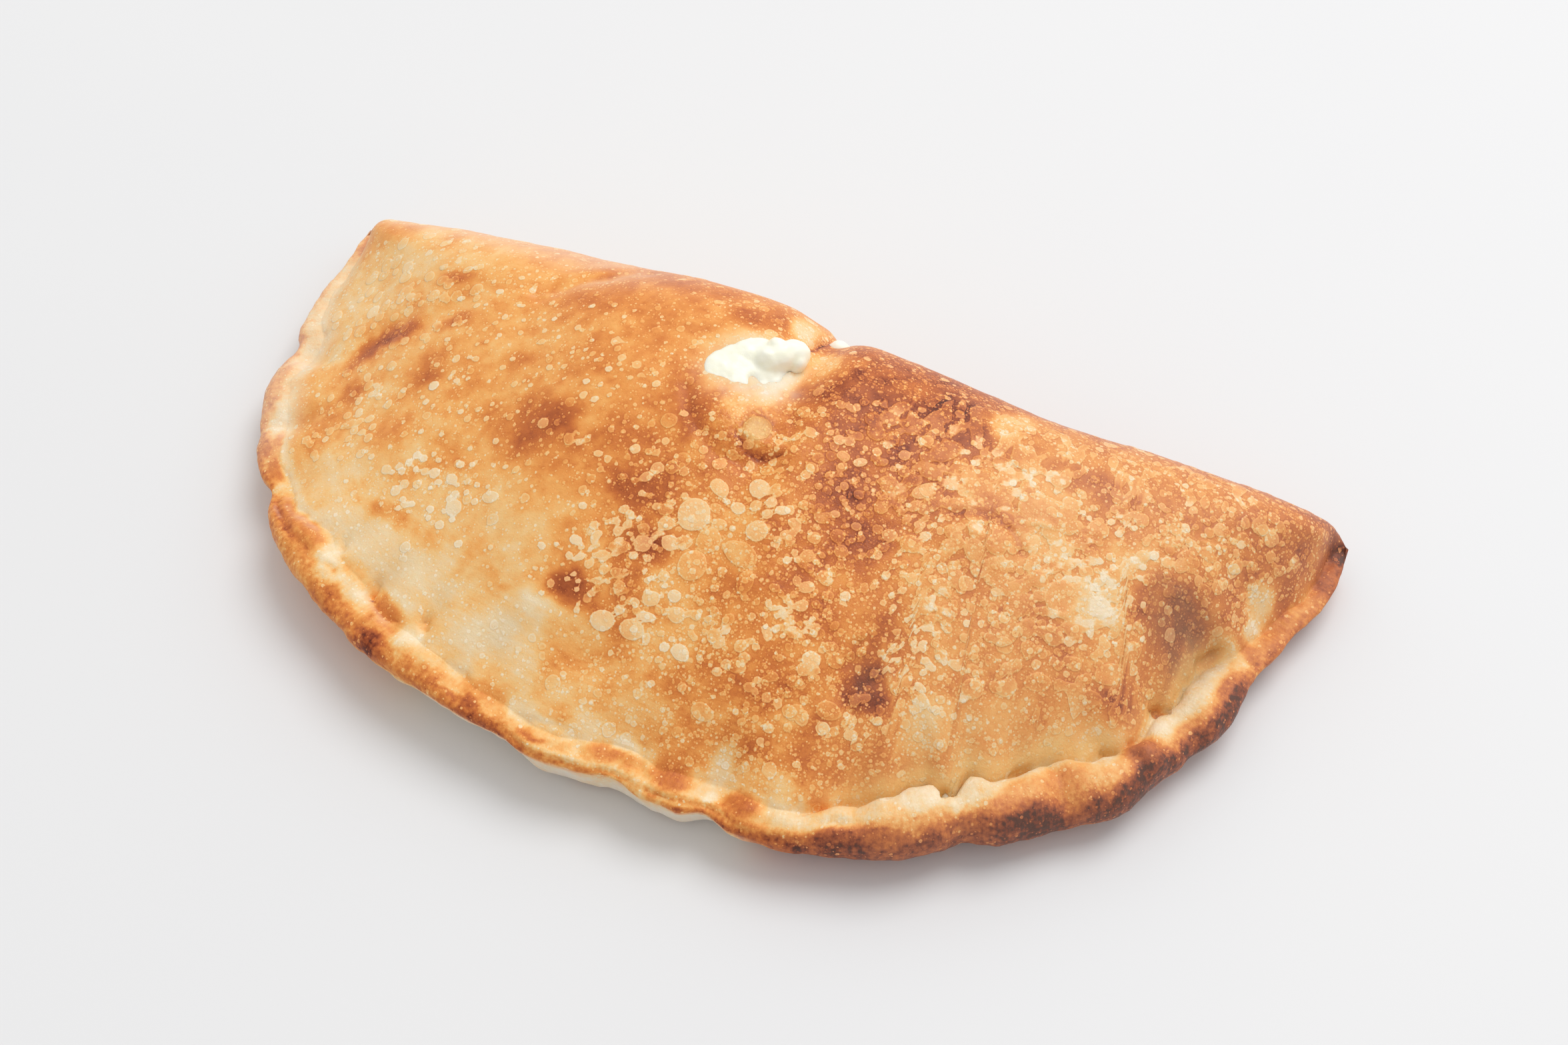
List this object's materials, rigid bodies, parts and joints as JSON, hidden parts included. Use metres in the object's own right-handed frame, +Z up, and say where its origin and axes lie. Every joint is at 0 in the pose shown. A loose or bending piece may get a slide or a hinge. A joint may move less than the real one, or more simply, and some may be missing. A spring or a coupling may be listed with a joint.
{
  "type": "calzone",
  "caption": "Baked calzone: a folded half-moon of blistered golden dough with a rolled, pinched rim and ricotta bursting through a tear on its ridge.",
  "frame": {"origin": "middle of the footprint, on the flat underside that the calzone rests on", "axes": "+X from the left tip to the right tip along the fold, +Y from the rolled rim to the fold, +Z up"},
  "size_m": [0.2824, 0.1428, 0.0528],
  "materials": {
    "crust": "satin baked dough: golden to orange-brown with pale blisters and dark scorched spots",
    "ricotta": "moist white curds"
  },
  "bodies": {
    "root": {"crust": "crust", "ricotta": "ricotta"}
  },
  "joints": []
}
